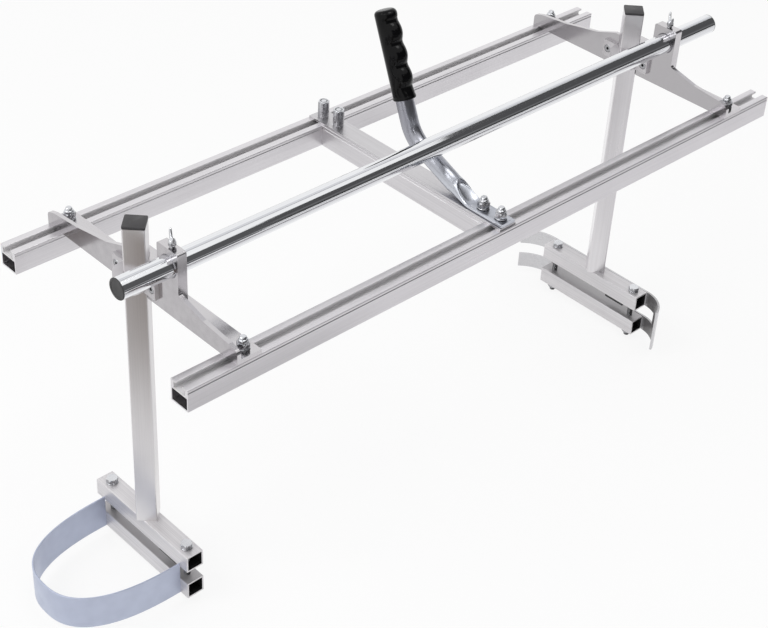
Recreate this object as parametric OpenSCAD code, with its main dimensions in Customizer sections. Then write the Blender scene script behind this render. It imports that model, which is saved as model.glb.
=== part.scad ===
// Chainsaw mill: two slotted rails, two sliding end brackets, two height posts with bar clamps.
// Frame: +X runs along the rails, towards the powerhead end; +Z is up.
// The origin lies under the cross rail, midway between the rails, on the plane that rides on the log.

/* [Rails] */
// Length of each rail
rail_len = 960; // [700:10:1200]
// Width of the rail section
rail_w = 28; // [26:1:32]
// Height of the rail section
rail_h = 28; // [26:1:32]
// Distance between the two rails, centre to centre
rail_pitch = 308; // [290:1:340]
// Wall thickness of the rail section
rail_wall = 1.8; // [1.5:0.1:2.5]
// Width of the slot in the rail's top
slot_w = 10; // [9:0.5:11]
// Thickness of the lips beside the slot
lip_t = 2.2; // [2:0.1:3]
// Width of the channel under the lips
channel_w = 19; // [18:0.5:21]
// Height of the channel under the lips
channel_h = 7.5; // [7:0.5:9]
// How far the rails' middle lies from the cross rail
rail_shift = 17; // [0:1:30]

/* [Tie plate] */
// Width of the tie plate on the cross rail
tie_w = 26; // [20:1:28]
// Thickness of the tie plate
tie_t = 3; // [2:0.5:5]
// Distance from the rail's outer side to the plate's end
tie_inset = 2; // [0:0.5:6]
// Distance between the two bolts at each end of the tie plate
tie_bolt_pitch = 28; // [26:1:34]

/* [Handle] */
// Outer diameter of the handle tube
handle_d = 22; // [18:1:24]
// Wall thickness of the handle tube
handle_wall = 1.5; // [1.2:0.1:2.5]
// Width of the handle's flattened foot
foot_w = 23; // [20:1:26]
// Thickness of the handle's flattened foot
foot_t = 4.4; // [3:0.1:6]
// Length of the flat part of the foot
foot_len = 54; // [50:1:60]
// Length over which the tube goes from flat to round
squash_len = 34; // [28:1:40]
// Rise of the handle under the push bar, in degrees
rise_angle = 22; // [18:1:24]
// Length of the rising stretch, up to the bend
rise_len = 60; // [50:1:66]
// Slope of the upper stretch, in degrees
grip_angle = 67; // [60:1:75]
// Radius of the bend in the handle
handle_bend_r = 45; // [35:1:60]
// Bare length between the bend and the grip
neck_len = 29; // [20:1:40]
// Length of the grip
grip_len = 107; // [95:1:125]
// Thickness of the grip, side to side
grip_d = 26; // [25:1:30]
// How far the finger ridges reach past the grip's barrel
ridge_h = 6.5; // [4:0.5:8]
// How far the flange at the grip's foot stands out
grip_flange = 0.8; // [0.5:0.1:2]
// Number of finger grooves
finger_count = 4; // [3:1:5]

/* [End brackets] */
// Place of the left post along the rails
bracket_left_x = -400; // [-430:1:-250]
// Place of the right post along the rails
bracket_right_x = 405; // [250:1:430]
// Thickness of the bracket's upright web
web_t = 5; // [3.5:0.5:6]
// Depth of the bracket's flange that lies on the rails
flange_w = 32; // [30:1:40]
// Thickness of that flange
flange_t = 6; // [5:0.5:8]
// Height of the web at the bracket's ends
end_h = 16; // [14:1:19]
// Height of the web over the rails
arm_end_h = 20; // [19:1:24]
// Height of the web where the arms leave the middle
arm_h = 34; // [31:1:38]
// Height of the boss that holds the post
boss_h = 45; // [42:1:52]
// Depth of the boss that holds the post, from the web's front
boss_t = 26; // [25:1:30]
// Width of the boss that holds the post
boss_w = 50; // [48:1:60]
// Height of the ear that holds the push bar
ear_h = 84; // [82:1:92]
// Width of the ear
ear_w = 35; // [34:1:40]
// Thickness of the ear
ear_t = 12; // [10:0.5:14]
// Distance of the ear's middle from the bar's axis, towards the post
ear_offset = 1.5; // [0:0.5:2]
// Distance of the T-bolts from the web's front
bolt_in = 19; // [17:0.5:22]

/* [Post clamps on the brackets] */
// Height of the saddle that closes round the post
saddle_h = 22; // [18:1:26]
// Height of the saddle's underside above the rails
saddle_lift = 10; // [7:1:14]
// Thickness of the saddle's wings
saddle_t = 5; // [5:0.5:7]
// How far the saddle's nose reaches out of the bracket
saddle_nose = 28; // [26:1:32]
// Overall width of the saddle
saddle_w = 75; // [74:1:80]
// Distance between the two saddle screws
saddle_pitch = 61; // [58:1:61]
// Depth of the lugs behind the web that take the saddle screws
lug_t = 12; // [9:1:16]
// Clearance on each side of the post in its seat
post_clear = 0.15; // [0.1:0.05:0.3]

/* [Push bar] */
// Outer diameter of the push bar
bar_d = 25; // [22:0.5:25.5]
// Wall thickness of the push bar
bar_wall = 1.8; // [1.5:0.1:3]
// Length of the push bar
bar_len = 962; // [900:1:1000]
// How far the push bar's middle lies from the cross rail
bar_shift = 16; // [0:1:30]
// Distance from the posts' line to the bar's axis
bar_y = 56; // [54:1:60]
// Height of the bar's axis above the rails
bar_h = 62.5; // [62:0.5:66]
// Radial running clearance of the bar in the ears
bar_clear = 0.08; // [0.05:0.01:0.1]

/* [Posts] */
// Side of the square post
post_w = 25; // [22:0.5:25]
// Wall thickness of the post
post_wall = 2; // [1.5:0.1:3]
// Length of the post with its cap
post_len = 414; // [360:1:460]
// Height of the post's top above the rails' underside
post_top = 117; // [112:1:130]
// Thickness of the post's cap
cap_t = 3; // [2:0.5:4]
// Depth of the cap's plug in the tube
plug_len = 12; // [8:1:18]

/* [Bar clamps] */
// Width of the clamp tubes
clamp_w = 23.5; // [20:0.5:25]
// Height of the clamp tubes
clamp_h = 23; // [18:0.5:25]
// Wall thickness of the clamp tubes
clamp_wall = 2; // [1.5:0.1:3]
// Length of the clamp tubes
clamp_len = 177; // [166:1:190]
// Height of the gap for the saw's guide bar
clamp_gap = 19; // [16:0.5:24]
// Distance between the two clamp bolts
clamp_pitch = 146; // [136:1:150]
// How far the clamp bolts reach below their lower nuts
bolt_tail = 5.5; // [4:0.5:9]
// Length of the pad under the upper tube
pad_block_len = 32; // [20:1:36]
// Thickness of the pad under the upper tube
pad_block_t = 4.5; // [3:0.5:5]

/* [Nose guard] */
// Reach of the guard's loop from the clamp
guard_reach = 138; // [110:1:160]
// Half width of the guard's loop
guard_half_w = 75; // [70:1:82]
// Thickness of the guard's strip
guard_t = 2; // [1.5:0.1:3]
// How far the guard rises above the lower tube
guard_rise = 24; // [14:0.5:26]
// Squareness of the loop, 2 is an ellipse
guard_power = 2.5; // [2:0.1:3]

/* [Bumper plate] */
// Thickness of the bumper plate
bumper_t = 3; // [2.5:0.1:4]
// Radius of the plate's curved near end
bumper_near_r = 42; // [36:1:60]
// Angle through which the near end curves
bumper_near_angle = 72; // [50:1:80]
// Radius of the plate's curved far end
bumper_far_r = 62; // [50:1:80]
// Angle through which the far end curves
bumper_far_angle = 50; // [35:1:60]
// Length of the near end beyond the slot
bumper_tip = 19; // [12:1:24]
// Clearance between the plate and the moving tube
bumper_clear = 0.4; // [0.3:0.1:0.8]

/* [Fasteners] */
// Diameter of the large bolts
bolt_d = 8; // [7:0.5:8]
// Width across flats of the large nuts and heads
nut_af = 13; // [12:0.5:13]
// Height of the large nuts
nut_h = 7; // [6:0.5:8]
// Height of the nut's locking collar
collar_h = 3.5; // [2:0.5:5]
// Height of the tall nuts on the tie plate
tall_nut_h = 22; // [18:1:24]
// Height of the thin lock nuts in the clamp's gap
lock_nut_h = 5; // [4:0.5:5]
// Diameter of the large washers
washer_d = 15; // [14:0.5:15]
// Thickness of the large washers
washer_t = 1.6; // [1.2:0.1:2]
// Diameter of the saddle and wing screws
screw_d = 6; // [5:0.5:6]
// Span of the wing screw's wings
wing_span = 26; // [22:1:30]
// Height of the wing screw above the ear
wing_h = 18; // [15:1:26]

/* [Hidden] */
$fn = 64;
cut = 1;              // how far a cutting body runs past the surface it cuts
fit = 0.05;           // radial clearance of a screw in its own thread
hole_clear = 0.3;     // radial clearance of a bolt in a plain hole
seat_gap = 0.3;       // gap between a moving piece and the piece that it nearly touches
edge_r = 3;           // rounding of the castings' outline
bore_lead = 1.2;      // chamfer at both mouths of the ear's bore
boss_cut = 10;        // chamfer at the boss's two back corners
arm_drop = 4;         // how far the arms' top edge falls from over the flange's hole to the bolt
screw_head_r = 5.1;   // radius of a saddle screw's head
screw_head_t = 3.6;   // height of that head
thread_end = 3;       // length of bolt that stands out of its nut
head_h = 5.3;         // height of a large bolt's hexagon head

rail_y = rail_pitch / 2;
rail_inner = rail_y - rail_w / 2;
rail_outer = rail_y + rail_w / 2;
lip_z = rail_h - lip_t;
tie_top = rail_h + tie_t;
handle_base = tie_top + foot_t;
bolt_r = bolt_d / 2;
screw_r = screw_d / 2;
t_head = [14, 15, 5];      // head of a T-bolt: along the slot, across it, high
seat_w = post_w + 2 * post_clear;
clamp_top = post_top - post_len;
upper_floor = clamp_top - clamp_h;
lower_top = upper_floor - clamp_gap;
lower_floor = lower_top - clamp_h;
bolt_foot = lower_floor - nut_h - bolt_tail;
clamp_wrench = head_h + washer_t;
saddle_z = rail_h + saddle_lift;
saddle_mid = saddle_z + saddle_h / 2;
ear_y = -bar_y;
bar_z = rail_h + bar_h;
ear_top = rail_h + ear_h;
bore_r = bar_d / 2 + bar_clear;

aluminium = [0.80, 0.79, 0.80];
casting = [0.70, 0.69, 0.70];
zinc = [0.78, 0.79, 0.80];
chrome = [0.86, 0.87, 0.88];
blue_zinc = [0.65, 0.69, 0.78];
dark = [0.25, 0.25, 0.26];
black = [0.08, 0.08, 0.09];

function unit(v) = v / norm(v);

// Points of a rounded corner at b, between the neighbours a and c
function corner(a, b, c, r, steps = 5) =
    let (u = unit(a - b),
         w = unit(c - b),
         half = acos(u * w) / 2,
         m = b + unit(u + w) * (r / sin(half)),
         s = b + u * (r / tan(half)) - m,
         e = b + w * (r / tan(half)) - m,
         start = atan2(s.y, s.x),
         turn = (atan2(e.y, e.x) - start + 540) % 360 - 180)
    [for (i = [0 : steps]) m + r * [cos(start + turn * i / steps), sin(start + turn * i / steps)]];

// An outline of [x, y, corner radius] rows as plain points
function rounded(rows) =
    let (n = len(rows))
    [for (i = [0 : n - 1])
        let (a = rows[(i + n - 1) % n], b = rows[i], c = rows[(i + 1) % n])
        each b.z > 0 ? corner([a.x, a.y], [b.x, b.y], [c.x, c.y], b.z) : [[b.x, b.y]]];

// Stands a drawing up in the YZ plane and gives it a thickness along +X
module upright(thick) {
    rotate([90, 0, 90])
        linear_extrude(thick)
            children();
}

module hexagon(af, high) {
    cylinder(d = af / cos(30), h = high, $fn = 6);
}

// Slotted rail section, lying with its length along +X and its underside on z = 0
module slotted_rail(long) {
    floor_z = lip_z - channel_h;
    upright(long)
        difference() {
            translate([-rail_w / 2, 0])
                square([rail_w, rail_h]);
            translate([-slot_w / 2, lip_z - cut])
                square([slot_w, lip_t + 2 * cut]);
            translate([-channel_w / 2, floor_z])
                square([channel_w, channel_h]);
            translate([-rail_w / 2 + rail_wall, rail_wall])
                square([rail_w - 2 * rail_wall, floor_z - 2 * rail_wall]);
        }
}

module rail(side) {
    color(aluminium)
        translate([rail_shift - rail_len / 2, side * rail_y, 0])
            slotted_rail(rail_len);
}

module cross_rail() {
    color(aluminium)
        translate([0, -rail_inner, 0])
            rotate([0, 0, 90])
                slotted_rail(2 * rail_inner);
}

// Places of the four bolts of the tie plate: the outer ones stand in the rails
function tie_bolts() = [for (side = [-1, 1], step = [0, 1]) side * (rail_y - step * tie_bolt_pitch)];

module tie_plate() {
    reach = rail_outer - tie_inset;
    color(aluminium)
        difference() {
            translate([-tie_w / 2, -reach, rail_h])
                cube([tie_w, 2 * reach, tie_t]);
            for (y = tie_bolts())
                translate([0, y, rail_h - cut])
                    cylinder(r = bolt_r + hole_clear, h = tie_t + 2 * cut);
        }
}

// T-bolt with its head under the lips, standing up to top
module t_bolt(top, along_x = true) {
    size = along_x ? t_head : [t_head.y, t_head.x, t_head.z];
    translate([-size.x / 2, -size.y / 2, lip_z - size.z])
        cube(size);
    translate([0, 0, lip_z - cut])
        cylinder(r = bolt_r, h = top - lip_z + cut);
}

module frame_t_bolts() {
    handle_top = handle_base + washer_t + nut_h + collar_h + thread_end;
    far_top = tie_top + tall_nut_h - thread_end;
    color(zinc) {
        for (step = [0, 1]) {
            y = rail_y - step * tie_bolt_pitch;
            translate([0, y, 0])
                t_bolt(far_top, step == 0);
            translate([0, -y, 0])
                t_bolt(handle_top, step == 0);
        }
    }
}

module nut_at(af, high, r) {
    difference() {
        hexagon(af, high);
        translate([0, 0, -cut])
            cylinder(r = r + fit, h = high + 2 * cut);
    }
}

// Nut with a round locking collar on top
module collar_nut() {
    difference() {
        union() {
            hexagon(nut_af, nut_h);
            cylinder(d = nut_af - 1.5, h = nut_h + collar_h);
        }
        translate([0, 0, -cut])
            cylinder(r = bolt_r + fit, h = nut_h + collar_h + 2 * cut);
    }
}

module washer() {
    difference() {
        cylinder(d = washer_d, h = washer_t);
        translate([0, 0, -cut])
            cylinder(r = bolt_r + hole_clear, h = washer_t + 2 * cut);
    }
}

module tall_nuts() {
    color(zinc)
        for (step = [0, 1])
            translate([0, rail_y - step * tie_bolt_pitch, tie_top])
                nut_at(nut_af, tall_nut_h, bolt_r);
}

module handle_washers() {
    color(zinc)
        for (step = [0, 1])
            translate([0, -rail_y + step * tie_bolt_pitch, handle_base])
                washer();
}

module handle_nuts() {
    color(zinc)
        for (step = [0, 1])
            translate([0, -rail_y + step * tie_bolt_pitch, handle_base + washer_t])
                collar_nut();
}

// The handle's centre line in the YZ plane, from its foot to the grip's end
foot_end_y = -rail_outer + tie_inset;
foot_z = tie_top + foot_t / 2;
round_y = foot_end_y + foot_len + squash_len;
round_z = tie_top + handle_d / 2 / cos(rise_angle) + 1.5;
bend_y = round_y + rise_len * cos(rise_angle);
bend_z = round_z + rise_len * sin(rise_angle);
bend_mid = [bend_y - handle_bend_r * sin(rise_angle), bend_z + handle_bend_r * cos(rise_angle)];
neck_y = bend_mid.x + handle_bend_r * sin(grip_angle);
neck_z = bend_mid.y - handle_bend_r * cos(grip_angle);

// Turns a body that stands on +Z to lean along the slope, from the point (y, z)
module along(y, z, slope) {
    translate([0, y, z])
        rotate([slope - 90, 0, 0])
            children();
}

// Round part of the handle: straight, bend, straight; start leaves the first stretch shorter
module handle_run(r, start, extra) {
    along(round_y, round_z, rise_angle)
        translate([0, 0, start])
            cylinder(r = r, h = rise_len - start + bend_lap);
    translate([0, bend_mid.x, bend_mid.y])
        rotate([rise_angle - 90, 0, 0])
            rotate([90, 0, 90])
                rotate_extrude(angle = grip_angle - rise_angle)
                    translate([handle_bend_r, 0])
                        circle(r = r - bend_step);
    along(neck_y, neck_z, grip_angle)
        translate([0, 0, -bend_lap])
            cylinder(r = r, h = neck_len + grip_len - grip_top_t - seat_gap + extra + bend_lap);
}

bend_lap = 0.6;       // how far the straight stretches run into the bend
bend_step = 0.05;     // how much slimmer the bend is than the straight stretches, at its radius
grip_top_t = 8;       // solid rubber over the tube's end
squash_in = 3;        // depth of the squashed stretch's solid end inside the tube
squash_thin = 0.3;    // how much thinner that end is than the tube, at its radius
dish_r = 17;          // radius of the dish pressed into the squashed stretch
dish_depth = 5;       // depth of that dish

module handle_tube() {
    slice = 0.5;
    dish_y = foot_end_y + foot_len + squash_len * 0.35;
    dish_z = tie_top + foot_t + (handle_d - foot_t) * 0.42;
    color(zinc)
        difference() {
            union() {
                translate([-foot_w / 2, foot_end_y, tie_top])
                    cube([foot_w, foot_len, foot_t]);
                hull() {
                    translate([-foot_w / 2, foot_end_y + foot_len - slice, tie_top])
                        cube([foot_w, slice, foot_t]);
                    along(round_y, round_z, rise_angle)
                        cylinder(r = handle_d / 2 - squash_thin, h = squash_in, $fn = 36);
                }
                handle_run(handle_d / 2, 0, 0);
            }
            handle_run(handle_d / 2 - handle_wall, squash_in + cut, cut);
            translate([0, dish_y, dish_z + dish_r - dish_depth])
                sphere(r = dish_r);
            for (step = [0, 1])
                translate([0, -rail_y + step * tie_bolt_pitch, tie_top - cut])
                    cylinder(r = bolt_r + hole_clear, h = foot_t + 2 * cut);
        }
}

// Grip: a turned barrel with a flange at its foot, and a row of finger grooves on the near side
module handle_grip() {
    pitch = grip_len / finger_count;
    groove_r = pitch * 0.56;
    groove_floor = 1.5;
    column_d = grip_d - 3;
    top_r = 4;
    color(black)
        along(neck_y, neck_z, grip_angle)
            translate([0, 0, neck_len])
                difference() {
                    union() {
                        rotate_extrude()
                            polygon(rounded([
                                [0, 0, 0],
                                [grip_d / 2 + grip_flange, 0, 0],
                                [grip_d / 2 + grip_flange, 2 * grip_flange, grip_flange / 2],
                                [grip_d / 2, 3 * grip_flange, 0],
                                [grip_d / 2, grip_len, top_r],
                                [0, grip_len, 0]]));
                        translate([0, -ridge_h, 0])
                            cylinder(d = column_d, h = grip_len - top_r / 2);
                        translate([-column_d / 2 + groove_floor, -ridge_h, 0])
                            cube([column_d - 2 * groove_floor, ridge_h, grip_len - top_r / 2]);
                    }
                    for (i = [0 : finger_count - 1])
                        translate([-grip_d, -grip_d / 2 - groove_r - groove_floor, (i + 0.5) * pitch])
                            rotate([0, 90, 0])
                                cylinder(r = groove_r, h = 2 * grip_d);
                    translate([0, 0, -cut])
                        cylinder(r = handle_d / 2 + fit, h = grip_len - grip_top_t + cut);
                }
}

// Outline of the bracket's web in the YZ plane, heights taken from the rails' top
ear_mid = ear_y + ear_offset;
ear_far = ear_mid + ear_w / 2;
ear_near = ear_mid - ear_w / 2;
arm_bend_y = rail_inner - rail_w;
function bracket_rows() = [
    [-rail_outer, 0, 0],
    [rail_outer, 0, 0],
    [rail_outer, end_h, 2 * edge_r],
    [rail_y, arm_end_h, edge_r],
    [arm_bend_y, arm_end_h + arm_drop, edge_r],
    [arm_bend_y / 2, arm_h, edge_r],
    [boss_w / 2, boss_h, edge_r],
    [ear_far, boss_h, 0],
    [ear_far, ear_h, edge_r],
    [ear_near, ear_h, edge_r],
    [ear_near, arm_h, edge_r],
    [-arm_bend_y, arm_end_h + arm_drop, edge_r],
    [-rail_y, arm_end_h, edge_r],
    [-rail_outer, end_h, 2 * edge_r]];

// Plan of the boss behind the web, its two back corners cut off
function boss_rows() = [
    [0, -boss_w / 2],
    [boss_t - boss_cut, -boss_w / 2],
    [boss_t, boss_cut - boss_w / 2],
    [boss_t, boss_w / 2 - boss_cut],
    [boss_t - boss_cut, boss_w / 2],
    [0, boss_w / 2]];

module bracket_body() {
    upright(web_t)
        polygon(rounded(bracket_rows()));
    translate([0, -rail_outer, 0])
        cube([flange_w, 2 * rail_outer, flange_t]);
    linear_extrude(boss_h - edge_r)
        polygon(boss_rows());
    upright(ear_t)
        polygon(rounded([
            [ear_near, 0, 0],
            [ear_far, 0, 0],
            [ear_far, ear_h, edge_r],
            [ear_near, ear_h, edge_r]]));
    translate([0, ear_far - cut, 0])
        cube([lug_t, saddle_w / 2 - ear_far + cut, saddle_lift + saddle_h]);
}

// Bore for the push bar through the ear, chamfered at both mouths
module ear_bore() {
    translate([0, ear_y, bar_z])
        rotate([0, 90, 0]) {
            translate([0, 0, -cut])
                cylinder(r = bore_r, h = ear_t + 2 * cut);
            translate([0, 0, -cut])
                cylinder(r1 = bore_r + bore_lead + cut, r2 = bore_r, h = bore_lead + cut);
            translate([0, 0, ear_t - bore_lead])
                cylinder(r1 = bore_r, r2 = bore_r + bore_lead + cut, h = bore_lead + cut);
        }
}

// End bracket: an angle on the rails, with the post on x = 0 and the web's front on x = 0
module bracket(x0) {
    color(casting)
        translate([x0, 0, 0])
            difference() {
                translate([0, 0, rail_h])
                    bracket_body();
                rotate([0, 0, 45])
                    translate([-seat_w / 2, -seat_w / 2, 0])
                        cube([seat_w, seat_w, 2 * ear_top]);
                ear_bore();
                translate([ear_t / 2, ear_y, bar_z])
                    cylinder(r = screw_r + fit, h = ear_h);
                for (side = [-1, 1]) {
                    translate([bolt_in, side * rail_y, rail_h - cut])
                        cylinder(r = bolt_r + hole_clear, h = flange_t + 2 * cut);
                    translate([-cut, side * saddle_pitch / 2, saddle_mid])
                        rotate([0, 90, 0])
                            cylinder(r = screw_r + fit, h = lug_t + 2 * cut);
                }
            }
}

module bracket_t_bolts(x0) {
    color(zinc)
        for (side = [-1, 1])
            translate([x0 + bolt_in, side * rail_y, 0])
                t_bolt(rail_h + flange_t + washer_t + nut_h + collar_h + thread_end);
}

module bracket_washers(x0) {
    color(zinc)
        for (side = [-1, 1])
            translate([x0 + bolt_in, side * rail_y, rail_h + flange_t])
                washer();
}

module bracket_nuts(x0) {
    color(zinc)
        for (side = [-1, 1])
            translate([x0 + bolt_in, side * rail_y, rail_h + flange_t + washer_t])
                rotate([0, 0, 30])
                    collar_nut();
}

// Saddle: a rounded nose round the post's outer corner, with two bolted wings
module post_saddle(x0) {
    nose_r = post_w / sqrt(2) - 0.5;
    color(casting)
        translate([x0, 0, saddle_z])
            difference() {
                union() {
                    translate([nose_r - saddle_nose, 0, 0])
                        cylinder(r = nose_r, h = saddle_h);
                    translate([nose_r - saddle_nose, -nose_r, 0])
                        cube([saddle_nose - nose_r, 2 * nose_r, saddle_h]);
                    translate([-saddle_t, -saddle_w / 2, 0])
                        cube([saddle_t, saddle_w, saddle_h]);
                }
                rotate([0, 0, 45])
                    translate([-seat_w / 2, -seat_w / 2, -cut])
                        cube([seat_w, seat_w, saddle_h + 2 * cut]);
                for (side = [-1, 1])
                    translate([-saddle_t - cut, side * saddle_pitch / 2, saddle_h / 2])
                        rotate([0, 90, 0]) {
                            cylinder(r = screw_r + hole_clear, h = saddle_t + 2 * cut);
                            cylinder(r = screw_head_r + hole_clear, h = screw_head_t + cut);
                        }
            }
}

// Two socket screws, their heads sunk in the saddle's wings
module saddle_screws(x0) {
    socket_af = screw_d * 0.65;
    socket_t = screw_head_t * 0.7;
    color(zinc)
        for (side = [-1, 1])
            translate([x0 - saddle_t, side * saddle_pitch / 2, saddle_mid])
                rotate([0, 90, 0])
                    difference() {
                        union() {
                            cylinder(r = screw_head_r, h = screw_head_t);
                            cylinder(r = screw_r, h = saddle_t + lug_t);
                        }
                        translate([0, 0, -cut])
                            hexagon(socket_af, socket_t + cut);
                    }
}

// Wing screw on the ear: it presses on the bar, and turns by hand
module wing_screw(x0, turn) {
    tip = bar_z + bar_d / 2 + seat_gap;
    hub_z = ear_top + 2;
    hub_h = 7;
    hub_r = 5;
    blade_t = 2.6;
    color(zinc)
        translate([x0 + ear_t / 2, ear_y, 0])
            rotate([0, 0, turn]) {
                translate([0, 0, tip])
                    cylinder(r = screw_r, h = hub_z - tip + hub_h);
                translate([0, 0, hub_z])
                    cylinder(r1 = hub_r, r2 = hub_r - 1, h = hub_h);
                for (side = [-1, 1])
                    scale([side, 1, 1])
                        translate([0, blade_t / 2, 0])
                            rotate([90, 0, 0])
                                linear_extrude(blade_t)
                                    polygon(rounded([
                                        [hub_r - 2, hub_z, 0],
                                        [wing_span / 2 - 2, hub_z + 3, 3],
                                        [wing_span / 2, ear_top + wing_h, 2.5],
                                        [wing_span / 2 - 7, ear_top + wing_h, 2.5],
                                        [hub_r - 2, hub_z + hub_h, 0]]));
            }
}

bar_left = bar_shift - bar_len / 2;
plug_lip = 1.5;

module push_bar() {
    color(chrome)
        translate([bar_left + plug_lip, ear_y, bar_z])
            rotate([0, 90, 0])
                difference() {
                    cylinder(d = bar_d, h = bar_len - 2 * plug_lip);
                    translate([0, 0, -cut])
                        cylinder(r = bar_d / 2 - bar_wall, h = bar_len + 2 * cut);
                }
}

// Plug in the bar's end: a flat lip and a stub in the tube
module bar_plug(side) {
    color(dark)
        translate([bar_shift + side * bar_len / 2, ear_y, bar_z])
            rotate([0, -side * 90, 0]) {
                cylinder(d = bar_d, h = plug_lip);
                cylinder(r = bar_d / 2 - bar_wall - fit, h = plug_lip + plug_len);
            }
}

// Square body turned with its corners to +X, -X, +Y and -Y
module turned_square(side, z, high) {
    translate([0, 0, z])
        rotate([0, 0, 45])
            translate([-side / 2, -side / 2, 0])
                cube([side, side, high]);
}

module post(x0) {
    color(aluminium)
        translate([x0, 0, 0])
            difference() {
                turned_square(post_w, clamp_top, post_len - cap_t);
                turned_square(post_w - 2 * post_wall, clamp_top - cut, post_len + cut);
            }
}

module post_cap(x0) {
    color(dark)
        translate([x0, 0, 0]) {
            turned_square(post_w, post_top - cap_t, cap_t);
            turned_square(post_w - 2 * post_wall - 2 * fit, post_top - cap_t - plug_len, plug_len + cut);
        }
}

module clamp_tube(x0, z, hole_r) {
    translate([x0, 0, z])
        difference() {
            translate([-clamp_w / 2, -clamp_len / 2, 0])
                cube([clamp_w, clamp_len, clamp_h]);
            translate([-clamp_w / 2 + clamp_wall, -clamp_len / 2 - cut, clamp_wall])
                cube([clamp_w - 2 * clamp_wall, clamp_len + 2 * cut, clamp_h - 2 * clamp_wall]);
            for (side = [-1, 1])
                translate([0, side * clamp_pitch / 2, -cut])
                    cylinder(r = hole_r, h = clamp_h + 2 * cut);
        }
}

module upper_clamp(x0) {
    color(aluminium)
        clamp_tube(x0, upper_floor, bolt_r + hole_clear);
}

module lower_clamp(x0) {
    color(aluminium)
        clamp_tube(x0, lower_floor, bolt_r + hole_clear);
}

// Two hexagon bolts through both clamp tubes, each with a washer face under its head
module clamp_bolts(x0) {
    color(zinc)
        for (side = [-1, 1])
            translate([x0, side * clamp_pitch / 2, 0]) {
                translate([0, 0, bolt_foot])
                    cylinder(r = bolt_r, h = clamp_top - bolt_foot + cut);
                translate([0, 0, clamp_top])
                    cylinder(d = washer_d, h = washer_t);
                translate([0, 0, clamp_top + washer_t])
                    hexagon(nut_af, head_h);
            }
}

module clamp_lock_nuts(x0) {
    color(zinc)
        for (side = [-1, 1])
            translate([x0, side * clamp_pitch / 2, upper_floor - lock_nut_h])
                nut_at(nut_af, lock_nut_h, bolt_r);
}

module clamp_nuts(x0) {
    color(zinc)
        for (side = [-1, 1])
            translate([x0, side * clamp_pitch / 2, lower_floor - nut_h])
                nut_at(nut_af, nut_h, bolt_r);
}

// Pad that bears on the saw's guide bar, beside the near bolt
module bar_pad(x0) {
    color(dark)
        translate([x0 - clamp_w / 2 + clamp_wall,
                   -clamp_pitch / 2 + washer_d / 2 + 1,
                   upper_floor - pad_block_t])
            cube([clamp_w - 2 * clamp_wall, pad_block_len, pad_block_t]);
}

// Half loop in plan, bulging towards -x from the y axis
function loop_points(reach, half, steps = 40) =
    [for (i = [0 : steps])
        let (t = -90 + 180 * i / steps)
        [-reach * pow(abs(cos(t)), 2 / guard_power),
          half * sign(t) * pow(abs(sin(t)), 2 / guard_power)]];

// Nose guard: a strip bent to a loop and welded to the lower clamp tube
module nose_guard() {
    high = clamp_h + guard_rise;
    color(blue_zinc)
        translate([bracket_left_x - clamp_w / 2, 0, lower_floor]) {
            difference() {
                linear_extrude(high)
                    polygon(loop_points(guard_reach, guard_half_w));
                translate([0, 0, -cut])
                    linear_extrude(high + 2 * cut)
                        polygon(loop_points(guard_reach - guard_t, guard_half_w - guard_t));
                translate([-seat_gap, -guard_half_w - cut, clamp_h])
                    cube([seat_gap + cut, 2 * guard_half_w + 2 * cut, high]);
            }
        }
}

// Arc of one bumper end in plan, from the flat outwards; grow is 0 on the inner face
bumper_steps = 12;
function bumper_arc(side, r, angle, grow) =
    [for (i = [0 : bumper_steps])
        let (t = angle * i / bumper_steps)
        [-r + (r + grow) * cos(t), side * (clamp_len / 2 + (r + grow) * sin(t))]];
function backwards(list) = [for (i = [len(list) - 1 : -1 : 0]) list[i]];
function bumper_plan() = concat(
    bumper_arc(1, bumper_far_r, bumper_far_angle, bumper_t),
    backwards(bumper_arc(1, bumper_far_r, bumper_far_angle, 0)),
    bumper_arc(-1, bumper_near_r, bumper_near_angle, 0),
    backwards(bumper_arc(-1, bumper_near_r, bumper_near_angle, bumper_t)));

// Bumper: a slotted plate on the upper tube, both ends bent back, the slot open at the far end
module bumper_plate() {
    slot_near = clamp_len / 2 + bumper_near_r * sin(bumper_near_angle) - bumper_tip;
    past = 2 * bumper_far_r;
    color(aluminium)
        translate([bracket_right_x + clamp_w / 2, 0, lower_floor])
            difference() {
                linear_extrude(clamp_top - lower_floor)
                    polygon(bumper_plan());
                translate([-past, -slot_near, clamp_h])
                    cube([2 * past, clamp_len + past, clamp_gap]);
                translate([-cut, -clamp_len / 2 - cut, -cut])
                    cube([cut + bumper_clear, clamp_len + 2 * cut, clamp_h + 2 * cut]);
            }
}

rail(-1);  // rail_front
rail(1);  // rail_rear
cross_rail();
tie_plate();
frame_t_bolts();
tall_nuts();
handle_tube();
handle_grip();
handle_washers();
handle_nuts();
bracket(bracket_left_x);  // bracket_left
bracket(bracket_right_x);  // bracket_right
bracket_t_bolts(bracket_left_x);  // bracket_t_bolts_left
bracket_t_bolts(bracket_right_x);  // bracket_t_bolts_right
bracket_washers(bracket_left_x);  // bracket_washers_left
bracket_washers(bracket_right_x);  // bracket_washers_right
bracket_nuts(bracket_left_x);  // bracket_nuts_left
bracket_nuts(bracket_right_x);  // bracket_nuts_right
post_saddle(bracket_left_x);  // post_saddle_left
post_saddle(bracket_right_x);  // post_saddle_right
saddle_screws(bracket_left_x);  // saddle_screws_left
saddle_screws(bracket_right_x);  // saddle_screws_right
wing_screw(bracket_left_x, 62);  // wing_screw_left
wing_screw(bracket_right_x, 48);  // wing_screw_right
push_bar();
bar_plug(-1);  // bar_plug_left
bar_plug(1);  // bar_plug_right
post(bracket_left_x);  // post_left
post(bracket_right_x);  // post_right
post_cap(bracket_left_x);  // post_cap_left
post_cap(bracket_right_x);  // post_cap_right
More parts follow.
